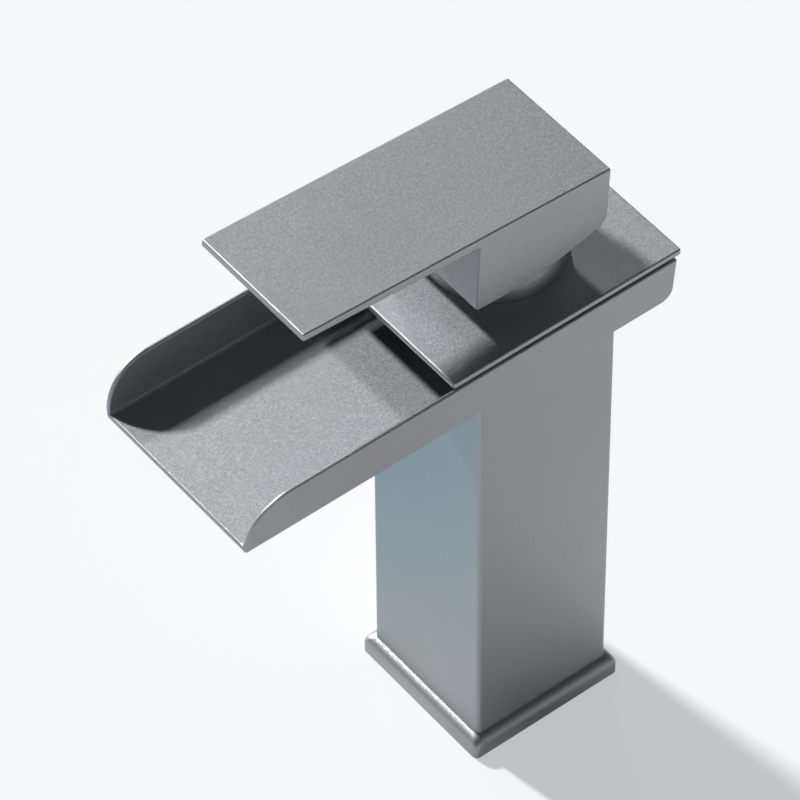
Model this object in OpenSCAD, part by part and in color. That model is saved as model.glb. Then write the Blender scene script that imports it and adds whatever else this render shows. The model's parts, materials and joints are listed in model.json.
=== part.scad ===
// Waterfall basin faucet: a square pillar carries a wide open spout tray, a cover
// plate and a single lever that works a ceramic disc cartridge.
// Millimetres. +Z is up, the water leaves towards -Y, and the origin is on the
// pillar's axis at deck level.

/* [Pillar and base] */
// Width of the square pillar
pillar_w = 46; // [43:0.5:56]
// Thickness of the pillar's walls
pillar_wall = 3; // [2:0.25:4]
// Radius of the pillar's upright edges
pillar_edge_r = 1.5; // [0.5:0.25:3]
// How far the base flange stands out all round
flange_margin = 2.6; // [1.5:0.1:6]
// Height of the base flange
flange_h = 6.8; // [4.5:0.1:12]
// Radius of the flange's rolled top edge
flange_edge_r = 3.6; // [1:0.1:4]
// Thickness of the gasket under the pillar
base_gasket_t = 1.5; // [1:0.25:3]

/* [Spout tray] */
// Height of the tray's underside above the deck
tray_z = 151; // [110:1:220]
// Height of the tray from its underside to its rim
tray_h = 16; // [14:0.5:22]
// Outside width of the tray at its floor
tray_floor_w = 59; // [54:0.5:70]
// Outside width of the tray at its rim
tray_rim_w = 62; // [58:0.5:76]
// Reach of the lip in front of the pillar's axis
tray_front = 103.8; // [85:0.5:140]
// Distance from the pillar's axis to the tray's rear wall
tray_rear = 36.5; // [32:0.5:44]
// Thickness of the tray's walls
tray_wall = 1.4; // [1:0.1:2]
// Thickness of the tray's floor
tray_floor_t = 1.8; // [1.2:0.1:3]
// Radius of the side walls' rounded front end
tip_r = 13.8; // [8:0.2:14]
// Radius of the lower rear corner
rear_corner_r = 4; // [2:0.5:7]
// Inside bend between floor and walls
floor_bend_r = 1.5; // [0.5:0.1:3]
// Outside edge between floor and walls
outer_bend_r = 0.8; // [0.3:0.1:2]

/* [Cover plate] */
// How far the cover plate stays inside the tray's rim at each side
cover_inset = 0.5; // [0:0.1:1]
// Distance from the pillar's axis to the cover plate's front edge
cover_front = 37.5; // [30:0.5:50]
// How far the cover plate stands out over the tray's rear wall
cover_overhang = 1.6; // [0:0.1:3]
// Thickness of the cover plate
cover_t = 2; // [1.2:0.1:3]
// Gap between the tray's rim and the cover plate
cover_gap = 0.5; // [0.2:0.1:1]
// Radius of the cover plate's corners
cover_corner_r = 0.8; // [0.5:0.1:4]

/* [Lever] */
// Width of the lever
lever_w = 42; // [41:0.5:52]
// Length of the lever's top
lever_l = 99.2; // [80:0.5:130]
// Distance from the pivot to the lever's rear face
lever_rear = 19.8; // [19:0.1:24]
// Height of the lever's top above the pivot
lever_top = 32.2; // [31.5:0.1:38]
// Rise of the lever's top towards the front when shut, in degrees
lever_tilt = 2.9; // [0:0.1:6]
// Thickness of the blade at its tip
blade_t = 2.4; // [1.8:0.1:4]
// Thickness of the blade where it leaves the block
blade_root_t = 3.2; // [2.4:0.1:5]
// Length of the block under the blade, from the pivot to its front face
block_front = 22.8; // [21:0.1:28]
// Height of the block's lowest point above the pivot
block_low = 6; // [5:0.1:9]
// Radius of the block's curved underside
belly_r = 100; // [70:5:200]
// Place of the lowest point in front of the pivot
belly_front = 17.5; // [8:0.5:20]
// Radius of the block's lower rear corner
block_corner_r = 3; // [1:0.25:5]
// Radius between the block's front face and the blade
root_fillet_r = 1.6; // [0.5:0.1:3]

/* [Dome] */
// How far the dome collar stands outside the nut that it is screwed on
dome_margin = 2.35; // [2.1:0.05:3.2]
// Radius of the opening for the stem
dome_mouth_r = 13; // [12:0.1:14]
// Gap between the dome and the hollow of the lever
dome_gap = 0.7; // [0.4:0.1:1]
// Height of the pivot above the cover plate
pivot_rise = 2; // [1:0.1:3]

/* [Valve cartridge] */
// Radius of the cartridge's body
cartridge_r = 17.5; // [17:0.1:17.8]
// Width of the shoulder that the nut holds the cartridge down by
cartridge_step = 2.3; // [1.8:0.1:3]
// Thickness of the cartridge's wall
cartridge_wall = 1.4; // [1:0.1:1.8]
// Height of the wide part of the cartridge
cartridge_body_h = 7; // [6.5:0.1:8]
// Height of the cartridge's base
cartridge_base_h = 7; // [6:0.1:10]
// Thickness of the fixed ceramic disc
fixed_disc_t = 4.5; // [3.5:0.1:6]
// Thickness of the moving ceramic disc
moving_disc_t = 2.5; // [2:0.1:4]
// Thickness of the carrier on the moving disc
carrier_t = 4.5; // [4:0.1:6]
// Distance from the pivot down to the finger that drives the carrier
finger_throw = 9.5; // [8.5:0.1:11]
// Radius of the finger's ball
finger_r = 2.2; // [1.8:0.1:2.6]
// Full lift of the lever, in degrees
lift_angle = 25; // [15:1:26]
// Width of the square stem
stem_w = 8; // [6:0.1:8.4]
// Length of the stem above the pivot
stem_h = 27.5; // [26:0.1:28.5]
// Radius of the pivot pin
pin_r = 2; // [1.5:0.1:2.5]
// Thickness of the nut's collar, which carries the dome
nut_wall = 1.65; // [1.2:0.05:2.2]
// How far the nut's thread stands outside its collar
nut_step = 2; // [1.5:0.1:3]
// Wall of the valve neck outside the nut's thread
neck_wall = 2; // [1.5:0.1:3]
// Height of the water slot at the front of the valve neck
slot_h = 3.5; // [2.5:0.1:5]
// Width of the water slot
slot_w = 22; // [12:1:30]

/* [Inlets] */
// Distance of each inlet from the middle plane
inlet_x = 7.6; // [7.4:0.1:9]
// Distance of the inlets in front of the pillar's axis
inlet_front = 5.2; // [4.5:0.1:7]
// Radius of the inlet thread's bore
inlet_r = 4.5; // [4:0.1:4.8]
// Length of the inlet bushings' thread
inlet_l = 12; // [8:0.5:14]

/* [Deck fixing] */
// Radius of the mounting stud
stud_r = 4; // [3:0.1:5]
// Distance of the stud behind the pillar's axis
stud_back = 12.5; // [11.5:0.1:13]
// Length of the stud below the deck
stud_drop = 64; // [50:1:90]
// Thickness of the deck that is clamped, as drawn
deck_t = 20; // [4:1:30]
// Radius of the horseshoe washers
washer_r = 24; // [22:0.5:28]
// Half the width of the horseshoe's opening
washer_gap = 14; // [13:0.5:15]
// Thickness of the rubber washer
rubber_t = 3; // [2:0.5:5]
// Thickness of the steel washer
steel_t = 2; // [1.5:0.5:4]

/* [Hidden] */
$fn = 96;
// One overrun serves all cuts
over = 1;
// Clearance of threads and seats that don't move
seat_fit = 0.05;
// Clearance of pieces that slip over each other
slip_fit = 0.15;
// Clearance of pieces that turn or slide on each other
run_fit = 0.05;
// Steps of a rounded corner in an outline
corner_steps = 10;

// Widths that follow from what they fit
tray_w = max(tray_floor_w, tray_rim_w);
cover_w = tray_rim_w - 2 * cover_inset;
cover_rear = tray_rear + cover_overhang;
cartridge_neck_r = cartridge_r - cartridge_step;
cartridge_bore_r = cartridge_neck_r - cartridge_wall;
nut_bore_r = cartridge_neck_r + slip_fit;
nut_collar_r = nut_bore_r + nut_wall;
nut_thread_r = nut_collar_r + nut_step;
dome_thread_r = nut_collar_r + seat_fit;
dome_r = dome_thread_r + dome_margin;

// Heights of the stack, from the deck up
foot_z = base_gasket_t;
gasket_t = 0.8;
pillar_top_z = tray_z - gasket_t;
floor_z = tray_z + tray_floor_t;
rim_z = tray_z + tray_h;
cover_z = rim_z + cover_gap;
cover_top_z = cover_z + cover_t;
pivot_z = cover_top_z + pivot_rise;
finger_z = pivot_z - finger_throw;
finger_sink = 1;
carrier_top_z = finger_z + finger_sink;
carrier_z = carrier_top_z - carrier_t;
moving_disc_z = carrier_z - moving_disc_t;
fixed_disc_z = moving_disc_z - fixed_disc_t;
pocket_z = fixed_disc_z - cartridge_base_h;
shoulder_z = fixed_disc_z + cartridge_body_h;
flange_rest = 0.3;
rotor_flange_z = carrier_top_z + flange_rest;
rotor_flange_t = 2.7;
lip_z = rotor_flange_z + rotor_flange_t;
lip_t = 2.5;

// Pillar: inside, seat block and neck
cavity_w = pillar_w - 2 * pillar_wall;
cavity_edge_r = 1;
neck_r = nut_thread_r + neck_wall;
seat_depth = 16.5;
seat_z = pocket_z - seat_depth;
pocket_fit = 0.3;
chamber_drop = 2.5;
chamber_z = min(fixed_disc_z - chamber_drop, floor_z);

// Inlets and the ports of the cartridge
port_r = 2.4;
port_shift_x = 1.4;
port_shift_y = 1;
port_x = inlet_x - port_shift_x;
port_front = inlet_front - port_shift_y;
bushing_wall = 1.5;
bushing_r = inlet_r + bushing_wall;
bushing_flange_r = bushing_r + 0.5 * bushing_wall;
bushing_flange_t = 1.5;
outlet_back = 6;
outlet_r = 2.6;
outlet_slot_h = 2.4;

// Seals below and above the cartridge's base, each at the middle of its section
seal_wall = 0.5;
inlet_seal_section = 0.8;
inlet_seal_r = port_r + seal_wall + inlet_seal_section;
disc_seal_section = 0.6;
disc_seal_r = port_r + seal_wall + disc_seal_section;

// Small fasteners
screw_r = 1.5;
screw_head_r = 2.8;
screw_head_t = 1.4;
screw_l = 10;
screw_gap = 0.6;
screw_at = (neck_r + screw_head_r + screw_gap) / sqrt(2);
set_screw_r = 2.5;
set_screw_l = 8;
set_screw_up = 23.5;
plug_r = 3.6;
plug_t = 2.6;
plug_sink = 0.2;

// Boss of the stud, and the clamp below the deck
boss_wall = 2.5;
boss_lift = 4.5;
boss_h = 22;
stud_top_z = foot_z + boss_lift + boss_h - over;
stud_hole_fit = 0.3;
gap_end_back = 4;
clamp_nut_h = 6.5;
clamp_nut_af = 13;

// Moving disc: it slides by the travel of the finger, half of it each way
disc_travel = finger_throw * sin(lift_angle);
disc_shift = disc_travel / 2;
disc_play = 0.2;
moving_disc_r = cartridge_bore_r - disc_shift - disc_play;
mix_r = 6;
mix_depth = 1.2;
mix_shift = 0.9;
peg_x = 6;
peg_r = 1.3;
peg_h = 1.1;
finger_neck_r = 1.6;
finger_play = 0.1;
lug_play = 0.1;
lug_t = 2.7;
lug_gap = 1.4;
lug_end = cartridge_bore_r - lug_gap;
lug_half = 5;
carrier_flat = lug_end - lug_t - lug_play;

// Dome, lever and stem
dome_wall = 1.8;
hollow_r = dome_r + dome_gap;
rotor_step = 2.35;
rotor_neck_r = cartridge_bore_r - rotor_step;
pin_inset = 0.85;
rotor_rise = 4.5;
rotor_slot_half = 9;
socket_play = 0.1;
stem_foot = 5;
lever_edge_r = 0.6;

// A unit vector along v.
function unit(v) = v / norm(v);

// The angle of v in the plane, in degrees.
function heading(v) = atan2(v[1], v[0]);

// A turn brought to between -180 and 180 degrees.
function shorter(a) = a > 180 ? a - 360 : a < -180 ? a + 360 : a;

// The points that round the corner b, between a and c, with radius r.
function corner(a, b, c, r) =
    r == 0 ? [b] :
    let (u = unit(a - b), v = unit(c - b), half = acos(u * v) / 2,
         middle = b + unit(u + v) * r / sin(half),
         from = heading(b + u * r / tan(half) - middle),
         turn = shorter(heading(b + v * r / tan(half) - middle) - from))
    [for (i = [0:corner_steps])
        middle + r * [cos(from + turn * i / corner_steps),
                      sin(from + turn * i / corner_steps)]];

// An outline whose corners are rounded, each with its own radius.
function rounded(points, radii) =
    let (n = len(points))
    [for (i = [0:n - 1])
        each corner(points[(i + n - 1) % n], points[i], points[(i + 1) % n], radii[i])];

// A rectangle about the origin with four equal corners.
function plan(w, l, r) =
    rounded([[-w, -l] / 2, [w, -l] / 2, [w, l] / 2, [-w, l] / 2], [r, r, r, r]);

// Raises what follows to a height.
module at(z) {
    translate([0, 0, z]) children();
}

// Extrudes an outline of (y, z) points along X, about the middle plane.
module along_x(width, points) {
    rotate([90, 0, 90]) linear_extrude(width, center = true) polygon(points);
}

// Extrudes an outline of (x, z) points along Y, from one y to another.
module along_y(from, to, points) {
    translate([0, to, 0]) rotate([90, 0, 0]) linear_extrude(to - from) polygon(points);
}

// A round bar from one height to another.
module bar(r, from, to) {
    at(from) cylinder(r = r, h = to - from);
}

// A ring from one height to another.
module ring(outer, inner, from, to) {
    difference() {
        bar(outer, from, to);
        bar(inner, from - over, to + over);
    }
}

// A ring of round section that lies flat on a height.
module o_ring(r, section, from) {
    at(from + section) rotate_extrude() translate([r, 0]) circle(section, $fn = 32);
}

// Repeats a piece at both sides of the middle plane.
module both_sides(x) {
    for (side = [-1, 1]) translate([side * x, 0, 0]) children();
}

// Puts a piece at the four corners where the tray's screws go.
module at_screws() {
    for (x = [-1, 1], y = [-1, 1])
        translate([x * screw_at, y * screw_at, 0]) children();
}

// Section of the tray across Y: a splayed box of the given floor and rim widths.
function tray_section(floor_w, rim_w, from, to, r) =
    rounded([[-floor_w / 2, from], [floor_w / 2, from], [rim_w / 2, to], [-rim_w / 2, to]],
            [r, r, 0, 0]);

// Width of the tray's outside at a height, carried on above its rim.
function tray_w_at(z) =
    tray_floor_w + (tray_rim_w - tray_floor_w) * (z - tray_z) / tray_h;

// The square column with its seat block, valve neck, hose space and stud boss.
module pillar() {
    color("#7b7d80")
    difference() {
        union() {
            difference() {
                at(foot_z) linear_extrude(pillar_top_z - foot_z)
                    polygon(plan(pillar_w, pillar_w, pillar_edge_r));
                at(foot_z - over) linear_extrude(seat_z - foot_z + over)
                    polygon(plan(cavity_w, cavity_w, cavity_edge_r));
            }
            bar(neck_r, pillar_top_z - over, cover_z);
            stud_boss();
        }
        cartridge_pocket();
        translate([0, stud_back, 0])
            bar(stud_r, foot_z - over, foot_z + boss_lift + boss_h + over);
        both_sides(inlet_x) translate([0, -inlet_front, 0])
            bar(bushing_r, seat_z - over, seat_z + inlet_l);
        both_sides(port_x) translate([0, -port_front, 0])
            bar(port_r, seat_z, pocket_z + over);
        at_screws() bar(screw_r, pillar_top_z - screw_l, pillar_top_z + over);
    }
}

// The boss inside the pillar that holds the mounting stud.
module stud_boss() {
    boss_r = stud_r + boss_wall;
    at(foot_z + boss_lift) {
        translate([0, stud_back, 0]) cylinder(r = boss_r, h = boss_h);
        translate([-boss_r, stud_back, 0])
            cube([2 * boss_r, (pillar_w - pillar_wall) / 2 - stud_back, boss_h]);
    }
}

// What is bored out of the neck and seat block for the cartridge and its water.
module cartridge_pocket() {
    bar(cartridge_r + pocket_fit, pocket_z, cover_z + over);
    bar(nut_thread_r, chamber_z, cover_z + over);
    pocket_pins(seat_fit);
    translate([-slot_w / 2, -neck_r - over, floor_z])
        cube([slot_w, neck_r + over, slot_h]);
}

// The two locating pins under the cartridge, or their holes.
module pocket_pins(play) {
    locate_r = 1.9;
    locate_at = 8.5;
    locate_h = 2.5;
    both_sides(locate_at) translate([0, locate_at, 0])
        bar(locate_r + play, pocket_z - locate_h - play, pocket_z + over);
}

// The open tray: splayed side walls with rounded ends, a flat floor and a rear wall.
module spout_tray() {
    top_w = tray_w_at(rim_z + over);
    inner_shift = 2 * tray_wall;
    side = rounded([[-tray_front, tray_z], [tray_rear, tray_z], [tray_rear, rim_z],
                    [-tray_front, rim_z]], [0, rear_corner_r, 0, tip_r]);
    hollow = rounded([[-tray_front - over, floor_z], [tray_rear - tray_wall, floor_z],
                      [tray_rear - tray_wall, rim_z + over],
                      [-tray_front - over, rim_z + over]],
                     [0, rear_corner_r - tray_wall, 0, 0]);
    color("#85878a")
    difference() {
        intersection() {
            along_y(-tray_front, tray_rear,
                tray_section(tray_floor_w, tray_rim_w, tray_z, rim_z, outer_bend_r));
            along_x(tray_w, side);
        }
        intersection() {
            along_y(-tray_front - over, tray_rear,
                tray_section(tray_w_at(floor_z) - inner_shift, top_w - inner_shift,
                             floor_z, rim_z + over, floor_bend_r));
            along_x(tray_w, hollow);
        }
        bar(neck_r + slip_fit, tray_z - over, floor_z + over);
        at_screws() screw_form(slip_fit);
    }
}

// A countersunk screw whose head is level with the tray's floor, with some play.
module screw_form(play) {
    bar(screw_r + play, pillar_top_z - screw_l + over, floor_z);
    at(floor_z - screw_head_t - play)
        cylinder(r1 = screw_r + play, r2 = screw_head_r + play, h = screw_head_t + play);
}

// The sheet gasket between the pillar's top and the tray.
module tray_gasket() {
    gasket_inset = 0.5;
    gasket_rim = 1;
    w = max(pillar_w - 2 * gasket_inset, 2 * (neck_r + gasket_rim));
    color("#26282a")
    difference() {
        at(pillar_top_z) linear_extrude(gasket_t) polygon(plan(w, w, pillar_edge_r));
        bar(neck_r + slip_fit, pillar_top_z - over, tray_z + over);
        at_screws() bar(screw_r + slip_fit, pillar_top_z - over, tray_z + over);
    }
}

// Four countersunk screws that hold the tray on the pillar.
module tray_screws() {
    drive_r = 0.9;
    color("#c4c7ca")
    at_screws() difference() {
        union() {
            bar(screw_r - seat_fit, pillar_top_z - screw_l + over, floor_z);
            at(floor_z - screw_head_t)
                cylinder(r1 = screw_r - seat_fit, r2 = screw_head_r, h = screw_head_t);
        }
        at(floor_z - screw_head_t / 2) cylinder(r = drive_r, h = screw_head_t, $fn = 6);
    }
}

// The flat plate over the rear of the tray, held down by the dome collar.
module cover_plate() {
    hole_play = 1;
    color("#8d8f92")
    difference() {
        translate([0, (cover_rear - cover_front) / 2, cover_z]) linear_extrude(cover_t)
            polygon(plan(cover_w, cover_rear + cover_front, cover_corner_r));
        bar(nut_collar_r + hole_play, cover_z - over, cover_top_z + over);
    }
}

// The flange round the pillar's foot, with a rolled top edge on all four sides.
module base_flange() {
    w = pillar_w + 2 * flange_margin;
    flange_corner_r = 1.8;
    edge = rounded([[-w / 2, 0], [w / 2, 0], [w / 2, flange_h], [-w / 2, flange_h]],
                   [0, 0, flange_edge_r, flange_edge_r]);
    opening_w = pillar_w + 2 * slip_fit;
    color("#6c6e71")
    difference() {
        intersection() {
            along_x(w, edge);
            along_y(-w / 2, w / 2, edge);
            linear_extrude(flange_h) polygon(plan(w, w, flange_corner_r));
        }
        at(-over) linear_extrude(flange_h + 2 * over)
            polygon(plan(opening_w, opening_w, pillar_edge_r));
    }
}

// The rubber gasket between the pillar's foot and the deck.
module base_gasket() {
    gasket_inset = 0.5;
    outer = pillar_w - 2 * gasket_inset;
    color("#26282a")
    difference() {
        linear_extrude(base_gasket_t) polygon(plan(outer, outer, pillar_edge_r));
        at(-over) linear_extrude(base_gasket_t + 2 * over)
            polygon(plan(cavity_w, cavity_w, cavity_edge_r));
    }
}

// A brass bushing in the seat block, with the female thread for one hose.
module inlet_bushing(side) {
    translate([side * inlet_x, -inlet_front, 0])
    difference() {
        union() {
            bar(bushing_r - seat_fit, seat_z - bushing_flange_t, seat_z + inlet_l - seat_fit);
            bar(bushing_flange_r, seat_z - bushing_flange_t, seat_z);
        }
        bar(inlet_r, seat_z - bushing_flange_t - over, seat_z + inlet_l + over);
    }
}

module cold_inlet_bushing() {
    color("#b5974e") inlet_bushing(1);
}

module hot_inlet_bushing() {
    color("#b5974e") inlet_bushing(-1);
}

// The spherical collar that screws on the nut and clamps the cover plate.
module dome_collar() {
    color("#77797c")
    difference() {
        at(pivot_z) sphere(dome_r);
        at(cover_top_z - 2 * dome_r)
            translate([-dome_r, -dome_r, 0]) cube(2 * dome_r);
        bar(dome_thread_r, cover_top_z - over, nut_top_z());
        intersection() {
            at(pivot_z) sphere(dome_r - dome_wall);
            bar(dome_r, nut_top_z() - seat_fit, pivot_z + dome_r);
        }
        bar(dome_mouth_r, pivot_z, pivot_z + dome_r + over);
    }
}

// Top of the nut's collar, where the dome's inside meets its thread.
function nut_top_z() =
    pivot_z + sqrt(pow(dome_r - dome_wall, 2) - pow(dome_thread_r, 2));

// The brass nut that holds the cartridge down, with notches for its key.
module cartridge_nut() {
    notch_w = 4;
    notch_h = 2.5;
    top_z = nut_top_z() - seat_fit;
    color("#b5974e")
    difference() {
        union() {
            bar(nut_thread_r - seat_fit, shoulder_z, cover_z - slip_fit);
            bar(nut_collar_r, shoulder_z, top_z);
        }
        bar(nut_bore_r, shoulder_z - over, top_z + over);
        for (turn = [0, 90]) rotate(turn)
            translate([-notch_w / 2, -nut_collar_r - over, top_z - notch_h])
                cube([notch_w, 2 * nut_collar_r + 2 * over, notch_h + over]);
    }
}

// The cartridge's shell: wide below, with a lip that holds the rotor down.
module cartridge_housing() {
    lip_r = rotor_neck_r + run_fit;
    color("#d9dad7")
    difference() {
        union() {
            bar(cartridge_r, fixed_disc_z, shoulder_z);
            bar(cartridge_neck_r, fixed_disc_z, lip_z + lip_t);
        }
        bar(cartridge_bore_r, fixed_disc_z - over, lip_z);
        bar(lip_r, lip_z - over, lip_z + lip_t + over);
    }
}

// The cartridge's foot: two inlets, and an outlet that leads to its rear edge.
module cartridge_base() {
    color("#3c3f42")
    difference() {
        union() {
            bar(cartridge_r - slip_fit, pocket_z, fixed_disc_z);
            pocket_pins(0);
        }
        both_sides(port_x) translate([0, -port_front, 0]) {
            bar(port_r, pocket_z - over, fixed_disc_z + over);
            seal_groove(inlet_seal_r, inlet_seal_section, pocket_z - over,
                        pocket_z + 2 * inlet_seal_section + seat_fit);
            seal_groove(disc_seal_r, disc_seal_section,
                        fixed_disc_z - 2 * disc_seal_section - seat_fit,
                        fixed_disc_z + over);
        }
        translate([0, outlet_back, 0])
            bar(outlet_r, fixed_disc_z - outlet_slot_h, fixed_disc_z + over);
        translate([-outlet_r, outlet_back, fixed_disc_z - outlet_slot_h])
            cube([2 * outlet_r, cartridge_r, outlet_slot_h + over]);
    }
}

// A groove round a port for a seal of the given radius and section.
module seal_groove(r, section, from, to) {
    ring(r + section + seat_fit, r - section - seat_fit, from, to);
}

// The seals between the cartridge's inlets and the seat block.
module inlet_seals() {
    color("#26282a")
    both_sides(port_x) translate([0, -port_front, 0])
        o_ring(inlet_seal_r, inlet_seal_section, pocket_z);
}

// The seals between the cartridge's base and the fixed disc.
module disc_seals() {
    color("#26282a")
    both_sides(port_x) translate([0, -port_front, 0])
        o_ring(disc_seal_r, disc_seal_section, fixed_disc_z - 2 * disc_seal_section);
}

// The fixed ceramic disc: two inlets and one outlet.
module fixed_disc() {
    color("#ece9e2")
    difference() {
        bar(cartridge_bore_r - disc_play, fixed_disc_z, moving_disc_z);
        both_sides(port_x) translate([0, -port_front, 0])
            bar(port_r, fixed_disc_z - over, moving_disc_z + over);
        translate([0, outlet_back, 0])
            bar(outlet_r, fixed_disc_z - over, moving_disc_z + over);
    }
}

// The moving ceramic disc, with a hollow below that joins the inlets to the outlet.
module moving_disc() {
    color("#f4f2ec")
    translate([0, disc_shift, 0])
    difference() {
        bar(moving_disc_r, moving_disc_z, carrier_z);
        translate([0, mix_shift, 0]) bar(mix_r, moving_disc_z - over,
                                         moving_disc_z + mix_depth);
        both_sides(peg_x)
            bar(peg_r + seat_fit, carrier_z - peg_h - seat_fit, carrier_z + over);
    }
}

// The carrier that the finger slides to and fro, with pegs in the moving disc.
module disc_carrier() {
    color("#2f3a46")
    difference() {
        translate([0, disc_shift, 0]) {
            intersection() {
                bar(moving_disc_r, carrier_z, carrier_top_z);
                at(carrier_z) translate([-carrier_flat, -moving_disc_r, 0])
                    cube([2 * carrier_flat, 2 * moving_disc_r, carrier_t]);
            }
            both_sides(peg_x) bar(peg_r, carrier_z - peg_h, carrier_z + over);
        }
        bar(finger_r + finger_play, finger_z - finger_r - flange_rest,
            carrier_top_z + over);
    }
}

// The rotor: its lugs turn the carrier and its two cheeks hold the stem's pin.
module stem_rotor() {
    slot = stem_w / 2 + finger_play;
    top_z = pivot_z + rotor_rise;
    lug_from = carrier_flat + lug_play;
    color("#d3d4d0")
    difference() {
        union() {
            bar(cartridge_bore_r - run_fit, rotor_flange_z, lip_z);
            bar(rotor_neck_r, rotor_flange_z, top_z);
            for (side = [-1, 1]) translate([side * (lug_from + lug_end) / 2, 0, 0])
                at(carrier_z + slip_fit) translate([(lug_from - lug_end) / 2, -lug_half, 0])
                    cube([lug_end - lug_from, 2 * lug_half,
                          rotor_flange_z - carrier_z]);
        }
        translate([-slot, -rotor_slot_half, rotor_flange_z - over])
            cube([2 * slot, 2 * rotor_slot_half, rotor_flange_t + 2 * over]);
        translate([-slot, -rotor_neck_r - over, lip_z])
            cube([2 * slot, 2 * rotor_neck_r + 2 * over, top_z - lip_z + over]);
        cross_bar(pin_r, rotor_neck_r + over);
    }
}

// A round bar along X through the pivot.
module cross_bar(r, reach) {
    at(pivot_z) rotate([0, 90, 0]) cylinder(r = r, h = 2 * reach, center = true);
}

// The pin that the stem rocks on.
module stem_pin() {
    color("#c4c7ca") cross_bar(pin_r, rotor_neck_r - pin_inset);
}

// The square stem, with a ball-ended finger below its pivot.
module valve_stem() {
    color("#b5974e")
    difference() {
        union() {
            translate([-stem_w / 2, -stem_w / 2, pivot_z - stem_foot])
                cube([stem_w, stem_w, stem_foot + stem_h]);
            bar(finger_neck_r, finger_z, pivot_z - stem_foot + over);
            at(finger_z) sphere(finger_r);
        }
        cross_bar(pin_r + run_fit, stem_w);
    }
}

// Height of the block's curved underside at y, in the lever's own frame.
function belly(y) =
    block_low + belly_r - sqrt(pow(belly_r, 2) - pow(y + belly_front, 2));

// Side view of the lever about its pivot, as (y, z) points.
function lever_side() =
    let (steps = 12,
         front = lever_rear - lever_l,
         last = lever_rear - block_corner_r,
         curve = [for (i = [0:steps])
             let (y = -block_front + (last + block_front) * i / steps) [y, belly(y)]],
         points = concat([[front, lever_top], [front, lever_top - blade_t],
                          [-block_front, lever_top - blade_root_t]], curve,
                         [[lever_rear, belly(lever_rear)], [lever_rear, lever_top]]),
         radii = concat([lever_edge_r, lever_edge_r, root_fillet_r, lever_edge_r],
                        [for (i = [1:steps]) 0], [block_corner_r, lever_edge_r]))
    rounded(points, radii);

// Y of the lever's rear face at a height above the pivot.
function rear_face(up) = (lever_rear + up * sin(lever_tilt)) / cos(lever_tilt);

// The cast lever: a flat blade on a block that is hollow over the dome.
module lever_handle() {
    socket_w = stem_w + 2 * socket_play;
    color("#85878a")
    at(pivot_z) difference() {
        rotate([-lever_tilt, 0, 0]) intersection() {
            along_x(lever_w, lever_side());
            translate([0, lever_rear - lever_l / 2, 0]) linear_extrude(lever_top)
                polygon(plan(lever_w, lever_l, lever_edge_r));
        }
        sphere(hollow_r);
        translate([-socket_w / 2, -socket_w / 2, 0])
            cube([socket_w, socket_w, stem_h + socket_play]);
        translate([0, 0, set_screw_up]) rotate([-90, 0, 0])
            cylinder(r = set_screw_r, h = lever_rear);
        translate([0, rear_face(set_screw_up) - plug_t - plug_sink, set_screw_up])
            rotate([-90, 0, 0]) cylinder(r = plug_r + seat_fit, h = plug_t + over);
    }
}

// The grub screw that clamps the lever on the stem.
module handle_set_screw() {
    key_r = 1.25;
    key_depth = 3;
    color("#c4c7ca")
    translate([0, stem_w / 2, pivot_z + set_screw_up]) rotate([-90, 0, 0])
    difference() {
        cylinder(r = set_screw_r - seat_fit, h = set_screw_l);
        translate([0, 0, set_screw_l - key_depth])
            cylinder(r = key_r, h = key_depth + over, $fn = 6);
    }
}

// The small plug that closes the grub screw's hole at the rear.
module index_plug() {
    color("#a33a34")
    translate([0, rear_face(set_screw_up) - plug_t - plug_sink, pivot_z + set_screw_up])
        rotate([-90, 0, 0]) cylinder(r = plug_r, h = plug_t);
}

// The threaded stud that runs from the pillar down through the deck.
module mounting_stud() {
    tip = 1;
    color("#c4c7ca")
    translate([0, stud_back, 0]) {
        bar(stud_r - seat_fit, -stud_drop + tip, stud_top_z);
        at(-stud_drop) cylinder(r1 = stud_r - tip, r2 = stud_r - seat_fit, h = tip);
    }
}

// Plan of a horseshoe washer: a disc with an opening to the front and a stud hole.
module horseshoe(r, from, to) {
    opening = rounded([[-washer_gap, -r - over], [washer_gap, -r - over],
                       [washer_gap, gap_end_back], [-washer_gap, gap_end_back]],
                      [0, 0, gap_end_back, gap_end_back]);
    difference() {
        bar(r, from, to);
        at(from - over) linear_extrude(to - from + 2 * over) polygon(opening);
        translate([0, stud_back, 0]) bar(stud_r + stud_hole_fit, from - over, to + over);
    }
}

module rubber_washer() {
    color("#26282a") horseshoe(washer_r, -deck_t - rubber_t, -deck_t);
}

module clamp_washer() {
    washer_step = 0.5;
    color("#c4c7ca")
        horseshoe(washer_r - washer_step, -deck_t - rubber_t - steel_t, -deck_t - rubber_t);
}

// The hexagon nut that draws the washers up against the deck.
module clamp_nut() {
    top_z = -deck_t - rubber_t - steel_t;
    color("#c4c7ca")
    translate([0, stud_back, 0])
    difference() {
        at(top_z - clamp_nut_h)
            cylinder(r = clamp_nut_af / sqrt(3), h = clamp_nut_h, $fn = 6);
        bar(stud_r + seat_fit, top_z - clamp_nut_h - over, top_z + over);
    }
}

pillar();
spout_tray();
tray_gasket();
tray_screws();
cover_plate();
base_flange();
base_gasket();
cold_inlet_bushing();
hot_inlet_bushing();
dome_collar();
cartridge_nut();
cartridge_housing();
cartridge_base();
inlet_seals();
disc_seals();
fixed_disc();
mounting_stud();
stem_rotor();
stem_pin();
valve_stem();
lever_handle();
handle_set_screw();
index_plug();
disc_carrier();
moving_disc();
rubber_washer();
clamp_washer();
clamp_nut();
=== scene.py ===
"""Dresses the packed waterfall basin faucet: modelled castings, fine finishes and a plain stage."""

import json
from math import asin, cos, pi, radians, sin, sqrt

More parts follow.
